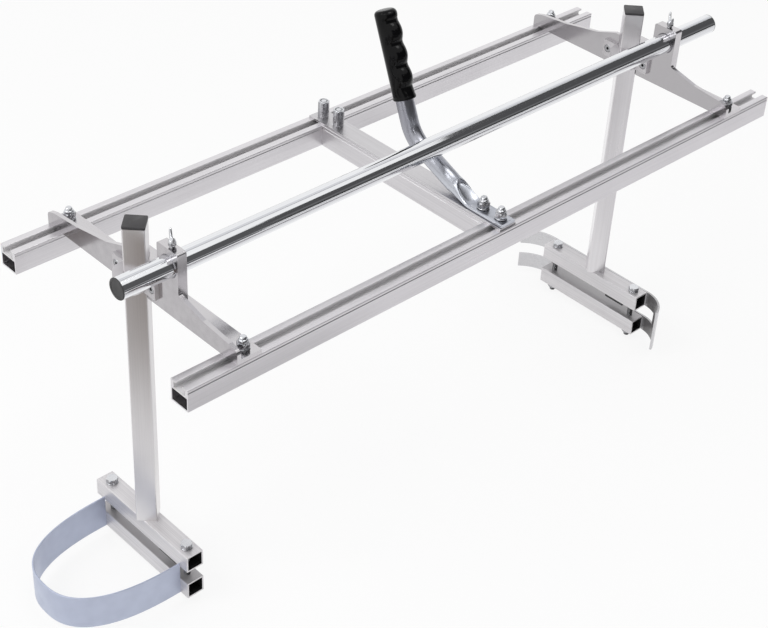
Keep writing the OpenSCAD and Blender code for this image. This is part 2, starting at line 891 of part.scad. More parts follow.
upper_clamp(bracket_left_x);  // upper_clamp_left
upper_clamp(bracket_right_x);  // upper_clamp_right
clamp_bolts(bracket_left_x);  // clamp_bolts_left
clamp_bolts(bracket_right_x);  // clamp_bolts_right
clamp_lock_nuts(bracket_left_x);  // clamp_lock_nuts_left
clamp_lock_nuts(bracket_right_x);  // clamp_lock_nuts_right
bar_pad(bracket_left_x);  // bar_pad_left
bar_pad(bracket_right_x);  // bar_pad_right
lower_clamp(bracket_left_x);  // lower_clamp_left
lower_clamp(bracket_right_x);  // lower_clamp_right
clamp_nuts(bracket_left_x);  // clamp_nuts_left
clamp_nuts(bracket_right_x);  // clamp_nuts_right
nose_guard();
bumper_plate();
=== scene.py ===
from math import cos, pi, radians, sin, sqrt, tan

import bmesh
import bpy
from mathutils import Matrix, Vector


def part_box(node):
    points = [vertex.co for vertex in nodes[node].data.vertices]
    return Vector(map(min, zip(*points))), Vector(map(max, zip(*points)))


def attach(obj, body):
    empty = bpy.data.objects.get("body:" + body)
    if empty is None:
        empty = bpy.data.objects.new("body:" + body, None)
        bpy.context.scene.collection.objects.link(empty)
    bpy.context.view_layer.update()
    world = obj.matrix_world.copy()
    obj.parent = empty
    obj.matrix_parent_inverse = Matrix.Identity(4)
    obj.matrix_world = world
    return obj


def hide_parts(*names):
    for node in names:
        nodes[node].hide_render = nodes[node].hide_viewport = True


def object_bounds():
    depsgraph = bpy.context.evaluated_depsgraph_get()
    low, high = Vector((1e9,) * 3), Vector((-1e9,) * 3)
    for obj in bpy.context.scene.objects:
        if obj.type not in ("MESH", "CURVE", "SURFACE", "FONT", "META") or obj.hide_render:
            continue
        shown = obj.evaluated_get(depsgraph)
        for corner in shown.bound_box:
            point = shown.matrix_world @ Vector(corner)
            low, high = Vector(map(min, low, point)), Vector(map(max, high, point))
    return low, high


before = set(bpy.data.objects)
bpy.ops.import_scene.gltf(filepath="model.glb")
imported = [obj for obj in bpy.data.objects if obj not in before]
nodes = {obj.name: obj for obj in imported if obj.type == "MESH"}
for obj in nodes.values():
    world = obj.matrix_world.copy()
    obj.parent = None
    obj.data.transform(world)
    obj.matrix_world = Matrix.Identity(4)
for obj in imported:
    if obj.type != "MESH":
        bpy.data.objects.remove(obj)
cad_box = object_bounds()
scene = bpy.context.scene
scene.view_settings.view_transform = "Standard"

# ---------------------------------------------------------------- camera
# The photograph was taken from the front left, about 2 m away and well above the rails, with
# a long lens. The camera was rolled by three and a half degrees.
azimuth, elevation, roll = radians(-45.19), radians(36.411), radians(3.494)
back = Vector((sin(azimuth) * cos(elevation), -cos(azimuth) * cos(elevation), sin(elevation)))
level = Vector((0, 0, 1)).cross(back).normalized()
upright = back.cross(level)
right = cos(roll) * level + sin(roll) * upright
up = cos(roll) * upright - sin(roll) * level
camera_data = bpy.data.cameras.new("camera")
camera_data.sensor_fit = "HORIZONTAL"
camera_data.sensor_width = 36
camera_data.lens = 77.833
camera_data.clip_end = 100
camera = bpy.data.objects.new("camera", camera_data)
camera_turn = Matrix((right, up, back)).transposed().to_4x4()
camera.matrix_world = Matrix.Translation((-1.2301, -1.1965, 1.0735)) @ camera_turn
scene.collection.objects.link(camera)
scene.camera = camera

# ---------------------------------------------------------------- studio
# A white paper floor under soft lamps; the mill stands on the four ends of its clamp bolts.
# Dark and grey cards out of sight give the polished bar, the nuts and the left post their
# bands; only reflections see them.


def link(tree, start, end):
    tree.links.new(start, end)


def seen_directly(tree):
    """1 for a ray from the camera or from a mirror, and 0 for one that only brings light."""
    path = tree.nodes.new("ShaderNodeLightPath")
    total = path.outputs["Is Camera Ray"]
    for kind in ("Is Glossy Ray", "Is Transmission Ray"):
        add = tree.nodes.new("ShaderNodeMath")
        add.operation = "ADD"
        add.use_clamp = True
        link(tree, total, add.inputs[0])
        link(tree, path.outputs[kind], add.inputs[1])
        total = add.outputs[0]
    return total


def lit_or_seen(tree, share, lit, seen, output):
    """Ends a tree in one shader that gives light and a second one that is seen."""
    mix = tree.nodes.new("ShaderNodeMixShader")
    link(tree, share, mix.inputs["Fac"])
    link(tree, lit, mix.inputs[1])
    link(tree, seen, mix.inputs[2])
    link(tree, mix.outputs[0], tree.nodes.new(output).inputs["Surface"])


def white_air(tree, strength):
    air = tree.nodes.new("ShaderNodeBackground")
    air.inputs["Color"].default_value = (1, 1, 1, 1)
    air.inputs["Strength"].default_value = strength
    return air.outputs[0]


world = bpy.data.worlds.new("studio")
world.use_nodes = True
scene.world = world
tree = world.node_tree
tree.nodes.clear()
soft_light, plain_white = 0.62, 1.0
lit_or_seen(tree, seen_directly(tree), white_air(tree, soft_light), white_air(tree, plain_white),
            "ShaderNodeOutputWorld")


def stage_sheet(name, points, faces):
    mesh = bpy.data.meshes.new(name)
    mesh.from_pydata(points, [], faces)
    sheet = bpy.data.objects.new(name, mesh)
    scene.collection.objects.link(sheet)
    return sheet


one_face = ((0, 1, 2, 3),)
floor_half, floor_gap = 12, 0.0002
ground = cad_box[0][2] - floor_gap
floor = stage_sheet("floor", [(floor_half * x, floor_half * y, ground)
                              for x, y in ((-1, -1), (1, -1), (1, 1), (-1, 1))], one_face)
paper = bpy.data.materials.new("floor_paper")
paper.use_nodes = True
tree = paper.node_tree
tree.nodes.clear()
paper_white = tree.nodes.new("ShaderNodeEmission")
paper_white.inputs["Strength"].default_value = plain_white
paper_matte = tree.nodes.new("ShaderNodeBsdfDiffuse")
paper_matte.inputs["Color"].default_value = (0.9, 0.9, 0.9, 1)
white_share = tree.nodes.new("ShaderNodeMath")
white_share.operation = "MULTIPLY"
white_share.inputs[1].default_value = 0.86
link(tree, seen_directly(tree), white_share.inputs[0])
lit_or_seen(tree, white_share.outputs[0], paper_matte.outputs[0], paper_white.outputs[0],
            "ShaderNodeOutputMaterial")
floor.data.materials.append(paper)


def card(name, shade, points, faces=one_face):
    """A sheet of one colour that only shows in reflections."""
    sheet = stage_sheet(name, points, faces)
    cloth = bpy.data.materials.new(name)
    cloth.use_nodes = True
    tree = cloth.node_tree
    tree.nodes.clear()
    glow = tree.nodes.new("ShaderNodeEmission")
    glow.inputs["Color"].default_value = (*shade, 1)
    end = tree.nodes.new("ShaderNodeOutputMaterial")
    link(tree, glow.outputs[0], end.inputs["Surface"])
    sheet.data.materials.append(cloth)
    sheet.visible_camera = False
    sheet.visible_diffuse = False
    sheet.visible_shadow = False
    sheet.visible_transmission = False


bar_y, bar_z = -0.056, 0.09
card_left, card_join, card_right = -1.5, 0.44, 3.5
far_away, nearer = 1.15, 1.12


def round_the_bar(name, tone, low, high, x_low, x_high, away=far_away):
    """A curved card that the push bar sees between two heights above the horizon, in degrees."""
    steps = max(1, round((high - low) / 5))
    points = []
    for k in range(steps + 1):
        a = radians(low + (high - low) * k / steps)
        points += [(x, bar_y - away * cos(a), bar_z + away * sin(a)) for x in (x_low, x_high)]
    faces = [(2 * k, 2 * k + 1, 2 * k + 3, 2 * k + 2) for k in range(steps)]
    card(name, (tone, tone, tone * 1.03), points, faces)


round_the_bar("flag_left", 0.10, -21, 48, card_left, card_join)
round_the_bar("flag_left_stripe", 0.32, -9, -3, card_left, card_join, nearer)
round_the_bar("flag_edge", 0.02, -11, -3, card_join, card_right)
round_the_bar("flag_main", 0.085, -3, 56, card_join, card_right)
round_the_bar("flag_stripe", 0.17, 8, 19, card_join, card_right, nearer)
round_the_bar("flag_over", 0.085, 56, 91, 0.92, card_right)
round_the_bar("paper_line", 0.42, 94, 100, card_left, card_right)
round_the_bar("paper_over", 0.78, 100, 121, card_left, card_right)
round_the_bar("paper_under", 0.40, -22, -17, card_join, card_right)


def on_the_floor(name, shade, corners, lift):
    card(name, shade, [(x, y, ground + lift) for x, y in corners])


on_the_floor("grey_paper", (0.85, 0.845, 0.855),
             [(-0.7, -1.4), (3.5, -1.4), (3.5, -0.2), (-0.45, -0.2)], 0.0006)
on_the_floor("shade_paper", (0.28, 0.28, 0.285),
             [(-0.35, -0.50), (0.06, -0.50), (0.06, -0.425), (-0.35, -0.425)], 0.0012)
on_the_floor("warm_paper", (0.25, 0.215, 0.19),
             [(-1.75, -0.95), (-0.95, -1.55), (-0.47, -0.50), (-0.90, -0.02)], 0.0018)


def lamp(name, place, target, size, power):
    data = bpy.data.lights.new(name, "AREA")
    data.shape = "RECTANGLE"
    data.size, data.size_y = size
    data.energy = power
    made = bpy.data.objects.new(name, data)
    made.location = place
    made.rotation_euler = (Vector(target) - Vector(place)).to_track_quat("-Z", "Y").to_euler()
    scene.collection.objects.link(made)


lamp("lamp_left", (-2.2, 0.6, 2.4), (0, 0, 0), (1.6, 1.6), 34)
lamp("lamp_high", (0.2, -0.6, 3.0), (0, 0, 0), (1.4, 1.0), 17)
lamp("lamp_spark", (-0.9, -1.9, 1.5), (0, 0, 0.15), (0.07, 0.07), 2.0)

# ---------------------------------------------------------------- rails and cross rail
# Slotted aluminium extrusions, sawn to length and left as drawn: faint lines run along each
# bar from the die, with a slight mottle from handling. A flat strip ties them together.


def noise(tree, vector, scale, detail, rough=0.5):
    made = tree.nodes.new("ShaderNodeTexNoise")
    made.inputs["Scale"].default_value = scale
    made.inputs["Detail"].default_value = detail
    made.inputs["Roughness"].default_value = rough
    link(tree, vector, made.inputs["Vector"])
    return made.outputs["Fac"]


def feed(tree, value, socket):
    """Links another socket to this one, or gives it a plain value."""
    if hasattr(value, "is_linked"):
        link(tree, value, socket)
    else:
        socket.default_value = value


def spread(tree, value, low, high, to_low, to_high):
    """Stretches a value between low and high to a new range."""
    made = tree.nodes.new("ShaderNodeMapRange")
    names = ("Value", "From Min", "From Max", "To Min", "To Max")
    for name, given in zip(names, (value, low, high, to_low, to_high)):
        feed(tree, given, made.inputs[name])
    return made.outputs["Result"]


def blend_colours(tree, share, first, second):
    made = tree.nodes.new("ShaderNodeMix")
    made.data_type = "RGBA"
    for socket, given in ((0, share), (6, first), (7, second)):
        feed(tree, given, made.inputs[socket])
    return made.outputs[2]


def worn_metal():
    """Lines of grain and patches of wear set the tone and gloss; specks add to the relief."""
    group = bpy.data.node_groups.new("worn_metal", "ShaderNodeTree")
    for name, kind in (("Lines", "Vector"), ("Place", "Vector"), ("Light", "Color"),
                       ("Dark", "Color"), ("Smooth", "Float"), ("Rough", "Float")):
        group.interface.new_socket(name=name, in_out="INPUT", socket_type="NodeSocket" + kind)
    for name, kind in (("Colour", "Color"), ("Roughness", "Float"), ("Height", "Float")):
        group.interface.new_socket(name=name, in_out="OUTPUT", socket_type="NodeSocket" + kind)
    enter, leave = group.nodes.new("NodeGroupInput"), group.nodes.new("NodeGroupOutput")
    lines = noise(group, enter.outputs["Lines"], 1.0, 1)
    patches = noise(group, enter.outputs["Place"], 9.0, 3)
    specks = noise(group, enter.outputs["Place"], 260.0, 2)
    wear = group.nodes.new("ShaderNodeMath")
    wear.operation = "ADD"
    link(group, spread(group, lines, 0.3, 0.7, 0, 0.6), wear.inputs[0])
    link(group, spread(group, patches, 0.3, 0.7, 0, 0.4), wear.inputs[1])
    link(group, blend_colours(group, wear.outputs[0], enter.outputs["Light"],
                              enter.outputs["Dark"]), leave.inputs["Colour"])
    link(group, spread(group, wear.outputs[0], 0, 1, enter.outputs["Smooth"],
                       enter.outputs["Rough"]), leave.inputs["Roughness"])
    height = group.nodes.new("ShaderNodeMath")
    height.operation = "MULTIPLY_ADD"
    link(group, specks, height.inputs[0])
    height.inputs[1].default_value = 0.25
    link(group, lines, height.inputs[2])
    link(group, height.outputs[0], leave.inputs["Height"])
    return group


metal_wear = worn_metal()


def new_finish(name):
    """A new material with its node tree and its shader."""
    made = bpy.data.materials.new(name)
    made.use_nodes = True
    return made, made.node_tree, made.node_tree.nodes["Principled BSDF"]


def object_place(tree):
    return tree.nodes.new("ShaderNodeTexCoord").outputs["Object"]


def add_relief(tree, shader, height, strength, depth):
    bump = tree.nodes.new("ShaderNodeBump")
    bump.inputs["Strength"].default_value = strength
    bump.inputs["Distance"].default_value = depth
    link(tree, height, bump.inputs["Height"])
    link(tree, bump.outputs[0], shader.inputs["Normal"])


def metal(name, light, dark, smooth, rough, grain, depth=0.00002, metallic=1.0, coat=0.0):
    """Worn metal between two colours and two roughnesses, with lines along its grain."""
    made, tree, shader = new_finish(name)
    shader.inputs["Metallic"].default_value = metallic
    shader.inputs["Coat Weight"].default_value = coat
    place = object_place(tree)
    stretch = tree.nodes.new("ShaderNodeMapping")
    stretch.inputs["Scale"].default_value = grain
    link(tree, place, stretch.inputs["Vector"])
    wear = tree.nodes.new("ShaderNodeGroup")
    wear.node_tree = metal_wear
    link(tree, stretch.outputs[0], wear.inputs["Lines"])
    link(tree, place, wear.inputs["Place"])
    wear.inputs["Light"].default_value = (*light, 1)
    wear.inputs["Dark"].default_value = (*dark, 1)
    wear.inputs["Smooth"].default_value = smooth
    wear.inputs["Rough"].default_value = rough
    link(tree, wear.outputs["Colour"], shader.inputs["Base Color"])
    link(tree, wear.outputs["Roughness"], shader.inputs["Roughness"])
    add_relief(tree, shader, wear.outputs["Height"], 0.5, depth)
    return made


# The noise's scale along X, Y and Z: it is drawn out along the grain.
along_x, along_y, along_z, no_grain = (6, 900, 900), (900, 6, 900), (900, 900, 6), (60, 60, 60)


def part_of(tree, vector, axis):
    split = tree.nodes.new("ShaderNodeSeparateXYZ")
    link(tree, vector, split.inputs[0])
    return split.outputs[axis]


def facing_along(tree, axis):
    return part_of(tree, tree.nodes.new("ShaderNodeNewGeometry").outputs["Normal"], axis)


def place_along(tree, axis):
    return part_of(tree, object_place(tree), axis)


def blend_base(tree, share, colour):
    base = tree.nodes["Principled BSDF"].inputs["Base Color"]
    link(tree, blend_colours(tree, share, base.links[0].from_socket, (*colour, 1)), base)


def tone_by_side(material, axis, low, high, colour):
    """Blends towards a second colour where the normal along an axis runs from low to high."""
    tree = material.node_tree
    blend_base(tree, spread(tree, facing_along(tree, axis), low, high, 0, 1), colour)


def tone_by_place(material, axis, low, high, colour):
    """The same along a coordinate, in metres."""
    tree = material.node_tree
    blend_base(tree, spread(tree, place_along(tree, axis), low, high, 0, 1), colour)


def dress(material, *names):
    for name in names:
        slots = nodes[name].data.materials
        slots.clear()
        slots.append(material)


def fillet(points, radius):
    """Rounds the corners of a closed outline; radius is one value, or one for each corner."""
    count, steps = len(points), 4
    out = []
    for i, here in enumerate(points):
        r = radius[i] if isinstance(radius, (list, tuple)) else radius
        here = Vector(here)
        if r <= 0:
            out.append(tuple(here))
            continue
        before = (Vector(points[i - 1]) - here).normalized()
        after = (Vector(points[(i + 1) % count]) - here).normalized()
        half = before.angle(after) / 2
        start, end = here + before * (r / tan(half)), here + after * (r / tan(half))
        middle = here + (before + after).normalized() * (r / sin(half))
        for k in range(steps + 1):
            spoke = (start - middle).lerp(end - middle, k / steps).normalized()
            out.append(tuple(middle + spoke * r))
    return out


def add_piece(name, mesh, material, body, node, sharp):
    """Makes a piece of a mesh that takes a solid's place; edges over the angle stay sharp."""
    for face in mesh.polygons:
        face.use_smooth = True
    mesh.set_sharp_from_angle(angle=radians(sharp))
    mesh.materials.clear()
    mesh.materials.append(material)
    piece = bpy.data.objects.new(name, mesh)
    scene.collection.objects.link(piece)
    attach(piece, body)
    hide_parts(node)
    return piece


def extrusion(name, loops, start, along, length, material, body, node):
    """A level bar of constant section: the first closed outline, less the later ones."""
    curve = bpy.data.curves.new(name, "CURVE")
    curve.dimensions = "2D"
    curve.fill_mode = "BOTH"
    curve.extrude = length / 2
    for loop in loops:
        spline = curve.splines.new("POLY")
        spline.points.add(len(loop) - 1)
        for point, (u, v) in zip(spline.points, loop):
            point.co = (u, v, 0, 1)
        spline.use_cyclic_u = True
    drawn = bpy.data.objects.new(name + "_drawing", curve)
    scene.collection.objects.link(drawn)
    bpy.context.view_layer.update()
    mesh = bpy.data.meshes.new_from_object(
        drawn.evaluated_get(bpy.context.evaluated_depsgraph_get()))
    bpy.data.objects.remove(drawn)
    along, upward = Vector(along), Vector((0, 0, 1))
    turn = Matrix((upward.cross(along), upward, along)).transposed().to_4x4()
    mesh.transform(Matrix.Translation(Vector(start) + along * length / 2) @ turn)
    build = bmesh.new()
    build.from_mesh(mesh)
    bmesh.ops.remove_doubles(build, verts=build.verts, dist=1e-6)
    bmesh.ops.recalc_face_normals(build, faces=build.faces)
    build.to_mesh(mesh)
    build.free()
    return add_piece(name, mesh, material, body, node, 32)


def slotted_section():
    """The rail's outline with its channel and a shallow line near the top, and its hollow."""
    half, top, lip, channel, slot_half, under = 0.014, 0.028, 0.0258, 0.0095, 0.005, 0.0183
    line, line_half, line_deep = 0.0240, 0.0007, 0.0006
    side = [(half, 0), (half, line - line_half), (half - line_deep, line), (half, line + line_half),
            (half, top), (slot_half, top), (slot_half, lip), (channel, lip), (channel, under)]
    outline = side + [(-u, v) for u, v in reversed(side)]
    radii = [0.0007, 0, 0, 0, 0.0008, 0.0004, 0.0002, 0, 0.0005]
    hollow, low, high = 0.0122, 0.0018, 0.0165
    box = [(hollow, low), (hollow, high), (-hollow, high), (-hollow, low)]
    return [fillet(outline, radii + radii[::-1]), fillet(box, 0.0006)]


rail_metal = metal("rail_extrusion", (0.76, 0.745, 0.765), (0.67, 0.655, 0.675), 0.26, 0.38,
                   along_x, 0.000006)
cross_metal = metal("cross_extrusion", (0.69, 0.675, 0.695), (0.60, 0.585, 0.605), 0.28, 0.40,
                    along_y, 0.000006)
channel_metal = metal("channel_extrusion", (0.74, 0.73, 0.74), (0.66, 0.65, 0.66), 0.55, 0.60,
                      along_x, 0.0, 0.15)
tie_metal = metal("tie_strip", (0.66, 0.65, 0.665), (0.57, 0.56, 0.575), 0.28, 0.40, along_y)


def dull_channel(rail, axis, middle):
    """Nothing rubs the walls of the channel under the slot, so they keep a dull skin."""
    reach, lowest, highest = 0.0098, 0.017, 0.0279
    rail.data.materials.append(channel_metal)
    for face in rail.data.polygons:
        if abs(face.center[axis] - middle) < reach and lowest < face.center.z < highest:
            face.material_index = 1


for name in ("rail_front", "rail_rear"):
    low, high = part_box(name)
    middle = (low.y + high.y) / 2
    rail = extrusion(name + "_drawn", slotted_section(), (low.x, middle, 0), (1, 0, 0),
                     high.x - low.x, rail_metal, "frame", name)
    dull_channel(rail, 1, middle)
low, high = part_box("cross_rail")
cross = extrusion("cross_rail_drawn", slotted_section(), (0, low.y, 0), (0, 1, 0),
                  high.y - low.y, cross_metal, "frame", "cross_rail")
dull_channel(cross, 0, 0.0)
dress(tie_metal, "tie_plate")

# ---------------------------------------------------------------- nuts, bolts and washers
# Zinc-plated steel: hexagons with turned chamfers, round locking collars, rolled threads and
# stamped washers. Each set replaces the plain solids of the same name.

bolt_r, nut_across, washer_r = 0.004, 0.013, 0.0075


def zinc_with_shaded_sides(name, smooth, rough):
    made = metal(name, (0.78, 0.79, 0.81), (0.60, 0.61, 0.64), smooth, rough, no_grain, 0.000006)
    # Painted shade: faces that stand upright or look down are darkened towards grey.
    tone_by_side(made, "Z", 0.35, 0.05, (0.36, 0.36, 0.375))
    return made


zinc = zinc_with_shaded_sides("zinc_plate", 0.14, 0.28)


def loft(name, runs, material, body, node, sharp=35):
    """Skins each run of equal rings, closes its ends and makes one piece of them all."""
    mesh = bpy.data.meshes.new(name)
    build = bmesh.new()
    for rings in runs:
        verts = [[build.verts.new(point) for point in ring] for ring in rings]
        count = len(rings[0])
        for low, high in zip(verts, verts[1:]):
            for i in range(count):
                j = (i + 1) % count
                build.faces.new((low[i], low[j], high[j], high[i]))
        build.faces.new(list(reversed(verts[0])))
        build.faces.new(verts[-1])
    bmesh.ops.recalc_face_normals(build, faces=build.faces)
    build.to_mesh(mesh)
    build.free()
    return add_piece(name, mesh, material, body, node, sharp)


def turned(x, y, profile, sides=40):
    """Rings of a body turned about an upright axis; profile rows are (radius, height)."""
    return [[(x + r * cos(2 * pi * i / sides), y + r * sin(2 * pi * i / sides), z)
             for i in range(sides)] for r, z in profile]


def hexagon(x, y, low, high, turn):
    """Rings of a hexagon whose corners are cut by a cone at both faces."""
    sides, chamfer, uncut = 48, 0.0009, 1.0
    rings = []
    for z, cone in ((low, nut_across * 0.500), (low + chamfer, uncut), (high - chamfer, uncut),
                    (high, nut_across * 0.495)):
        ring = []
        for i in range(sides):
            angle = 2 * pi * i / sides
            from_flat = (angle + pi / 6) % (pi / 3) - pi / 6
            r = min(nut_across / 2 / cos(from_flat), cone)
            ring.append((x + r * cos(angle + turn), y + r * sin(angle + turn), z))
        rings.append(ring)
    return rings


def thread(x, y, radius, low, high, pitch=0.00125):
    """Rings of a rolled thread with a chamfered end at the top."""
    root, crest, tip = radius * 0.91, radius * 0.99, 0.001
    profile = [(radius * 0.9, low)]
    z = low
    while z + pitch < high - tip:
        profile += [(root, z + pitch * 0.15), (crest, z + pitch * 0.5), (root, z + pitch * 0.85)]
        z += pitch
    profile += [(radius * 0.97, high - 0.0009), (radius * 0.78, high - 0.0001)]
    return turned(x, y, profile, 24)


def washer(x, y, low, high):
    edge = 0.0003
    return turned(x, y, [(washer_r - edge, low), (washer_r, low + edge), (washer_r, high - edge),
                         (washer_r - edge, high)])


def locking_nut(x, y, low, high, turn):
    """A hexagon with a rounded collar that holds the locking ring."""
    shoulder = high - 0.0036
    collar = [(0.0058, shoulder - 0.0004), (0.0057, high - 0.0022), (0.0054, high - 0.0011),
              (0.0048, high - 0.0003), (0.0043, high)]
    return [hexagon(x, y, low, shoulder, turn), turned(x, y, collar)]


def span(node):
    low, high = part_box(node)
    return Vector(low), Vector(high)


def t_bolts(name, at, tops, turned_heads, body, node):
    """T-bolts with heads that lie in a channel along X, or turned to lie in one along Y."""
    low = span(node)[0].z
    lip = low + 0.005
    runs = []
    for (x, y), top, turned_head in zip(at, tops, turned_heads):
        half_x, half_y = (0.0075, 0.007) if turned_head else (0.007, 0.0075)
        runs.append(thread(x, y, bolt_r, lip - 0.0003, top))
        runs.append([[(x + sx * half_x * s, y + sy * half_y * s, z)
                      for sx, sy in ((-1, -1), (1, -1), (1, 1), (-1, 1))]
                     for z, s in ((low, 0.94), (low + 0.0006, 1.0), (lip - 0.0001, 1.0))])
    loft(name, runs, zinc, body, node)


def washer_pair(name, at, body, node):
    low, high = span(node)
    loft(name, [washer(x, y, low.z, high.z) for x, y in at], zinc, body, node)


def locking_nut_pair(name, at, turns, body, node):
    low, high = span(node)
    runs = []
    for (x, y), turn in zip(at, turns):
        runs += locking_nut(x, y, low.z, high.z, turn)
    loft(name, runs, zinc, body, node)


handle_bolts = [(0.0, -0.154), (0.0, -0.126)]
far_bolts = [(0.0, 0.154), (0.0, 0.126)]
tie_top, tall_nut, thread_below = 0.031, 0.022, 0.003
near_end = span("frame_t_bolts")[1].z
far_end = tie_top + tall_nut - thread_below
t_bolts("frame_t_bolt_set", handle_bolts + far_bolts, [near_end, near_end, far_end, far_end],
        [False, True, False, True], "frame", "frame_t_bolts")

low, high = span("tall_nuts")
top = high.z
runs = []
for x, y in far_bolts:
    body = hexagon(x, y, low.z, top, radians(8))
    face = [(x + (px - x) * 0.97, y + (py - y) * 0.97, top - 0.0004) for px, py, _ in body[3]]
    rim = turned(x, y, [(0.0061, top - 0.0004), (0.0061, top), (0.0046, top),
                        (0.0043, top - 0.0006), (0.0036, top - 0.0006),
                        (0.0034, top - 0.0002), (0.0012, top - 0.0002)])
    runs += [body[:3] + [face], rim]
loft("tall_nut_pair", runs, zinc, "frame", "tall_nuts")

washer_pair("handle_washer_pair", handle_bolts, "frame", "handle_washers")
locking_nut_pair("handle_nut_pair", handle_bolts, (0.2, 0.7), "frame", "handle_nuts")

for side in ("left", "right"):
    body, washers, bolts = side + "_bracket", "bracket_washers_" + side, "bracket_t_bolts_" + side
    low, high = span(washers)
    x = (low.x + high.x) / 2
    at = [(x, low.y + washer_r), (x, high.y - washer_r)]
    washer_pair("bracket_washer_pair_" + side, at, body, washers)
    locking_nut_pair("bracket_nut_pair_" + side, at, (0.55, 0.15), body, "bracket_nuts_" + side)
    end = span(bolts)[1].z
    t_bolts("bracket_t_bolt_set_" + side, at, [end, end], [False, False], body, bolts)

# ---------------------------------------------------------------- handle tube
# Zinc-plated steel tube: its end is pressed flat for the two bolts, with a dish behind them,
# and it rises under the push bar before it bends up to the grip.

foot_end, foot_len, squash_len = -0.166, 0.054, 0.034
foot_half_w, foot_half_h = 0.0115, 0.0021
foot_z, foot_dent = tie_top + 0.0022, 0.0007
rise, slope = radians(22), radians(67)
tube_r, bend_r, straight = 0.011, 0.045, 0.060
foot_stop = foot_end + foot_len
round_y = foot_stop + squash_len
round_z = tie_top + tube_r / cos(rise) + 0.0015
bend_y, bend_z = round_y + straight * cos(rise), round_z + straight * sin(rise)
mid_y, mid_z = bend_y - bend_r * sin(rise), bend_z + bend_r * cos(rise)
neck_y, neck_z = mid_y + bend_r * sin(slope), mid_z - bend_r * cos(slope)


def smooth_step(t):
    t = min(max(t, 0.0), 1.0)
    return t * t * (3 - 2 * t)


def tube_ring(y, z, lean, roundness=1.0, dish=0.0, dish_half_w=0.0085):
    """A section between the flat foot, at roundness 0, and the round tube, at 1."""
    count = 72
    ring = []
    for i in range(count):
        a = 2 * pi * i / count
        c, s = cos(a), sin(a)
        flat_x = foot_half_w * (1 if c > 0 else -1) * abs(c) ** 0.45
        flat_z = foot_half_h * (1 if s > 0 else -1) * abs(s) ** 0.35
        px = flat_x + (tube_r * c - flat_x) * roundness
        pz = flat_z + (tube_r * s - flat_z) * roundness
        if s > 0:
            pz -= dish * max(0.0, 1 - abs(px / dish_half_w) ** 3)
        ring.append((px, y - pz * sin(lean), z + pz * cos(lean)))
    return ring


rings = [tube_ring(foot_end + 0.0002, foot_z, 0, 0.0)]
first_y, foot_steps = foot_end + 0.0012, 12
for i in range(foot_steps + 1):
    y = first_y + (foot_stop - first_y) * i / foot_steps
    rings.append(tube_ring(y, foot_z, 0, 0.0, foot_dent))
squash_steps, dish_narrows, dish_stop = 40, 0.40, 0.92
for i in range(1, squash_steps + 1):
    t = i / squash_steps
    y = foot_stop + squash_len * t
    z = foot_z + (round_z - foot_z) * (0.72 * smooth_step(t) + 0.28 * t)
    dish, dish_half_w = 0.0, 0.0098
    if t < dish_stop:
        dish = foot_dent + (0.0013 + 0.0052 * t) * smooth_step((dish_stop - t) / 0.10)
    if t > dish_narrows:
        narrow = (t - dish_narrows) / (dish_stop - dish_narrows)
        dish_half_w *= sqrt(max(0.01, 1 - narrow ** 2))
    rings.append(tube_ring(y, z, rise * smooth_step(t * 1.15), smooth_step(t), dish, dish_half_w))
for i in range(1, 9):
    d = straight * i / 8
    rings.append(tube_ring(round_y + d * cos(rise), round_z + d * sin(rise), rise))
for i in range(1, 15):
    a = rise + (slope - rise) * i / 14
    rings.append(tube_ring(mid_y + bend_r * sin(a), mid_z - bend_r * cos(a), a))
for d in (0.01, 0.02, 0.029, 0.06, 0.12):
    rings.append(tube_ring(neck_y + d * cos(slope), neck_z + d * sin(slope), slope))
handle_zinc_shaded_high = metal("handle_zinc_shaded_high", (0.62, 0.64, 0.69), (0.54, 0.56, 0.61), 0.24, 0.34,
                    (24, 24, 24), 0.0000008)
# Painted shade: the tube is darkened higher up, where it rises and bends up to the grip.
tone_by_place(handle_zinc_shaded_high, "Z", 0.045, 0.075, (0.37, 0.375, 0.415))
loft("handle_pressed_tube", [rings], handle_zinc_shaded_high, "frame", "handle_tube")

# ---------------------------------------------------------------- grip
# Glossy black rubber sleeve, moulded with a flange at its foot, a rounded end and finger
# grooves on the side towards the worker.

grip_len, grip_r, neck = 0.107, 0.013, 0.029
groove_pitch, ridge_high, groove_deep = grip_len / 4, 0.0068, 0.0018
fade_len, end_round, flange_high = 0.012, 0.005, 0.0006


def grip_ring(d):
    """The sleeve's section at a distance from its foot."""
    count = 72
    ridge = max(0.0, ridge_high * abs(cos(pi * d / groove_pitch)) ** 0.8 - groove_deep)
    if d < groove_pitch / 2:
        ridge *= 0.45
    to_end = grip_len - d
    if to_end < fade_len:
        ridge *= smooth_step(to_end / fade_len) * 0.75 + 0.25
    squeeze = 1.0
    if to_end <= end_round:
        squeeze = sqrt(max(0.0, 1 - ((end_round - to_end) / end_round) ** 2)) * 0.35 + 0.65
    if d > 0.001:
        flange = flange_high * smooth_step((0.0045 - d) / 0.003)
    else:
        flange = flange_high * (0.2 + 0.8 * d / 0.001)
    y, z = neck_y + (neck + d) * cos(slope), neck_z + (neck + d) * sin(slope)
    ring = []
    for i in range(count):
        a = 2 * pi * i / count
        c, s = cos(a), sin(a)
        radius = (grip_r + ridge * max(0.0, -s) ** 2.6) * squeeze + flange
        ring.append((radius * c, y + radius * s * sin(slope), z - radius * s * cos(slope)))
    return ring


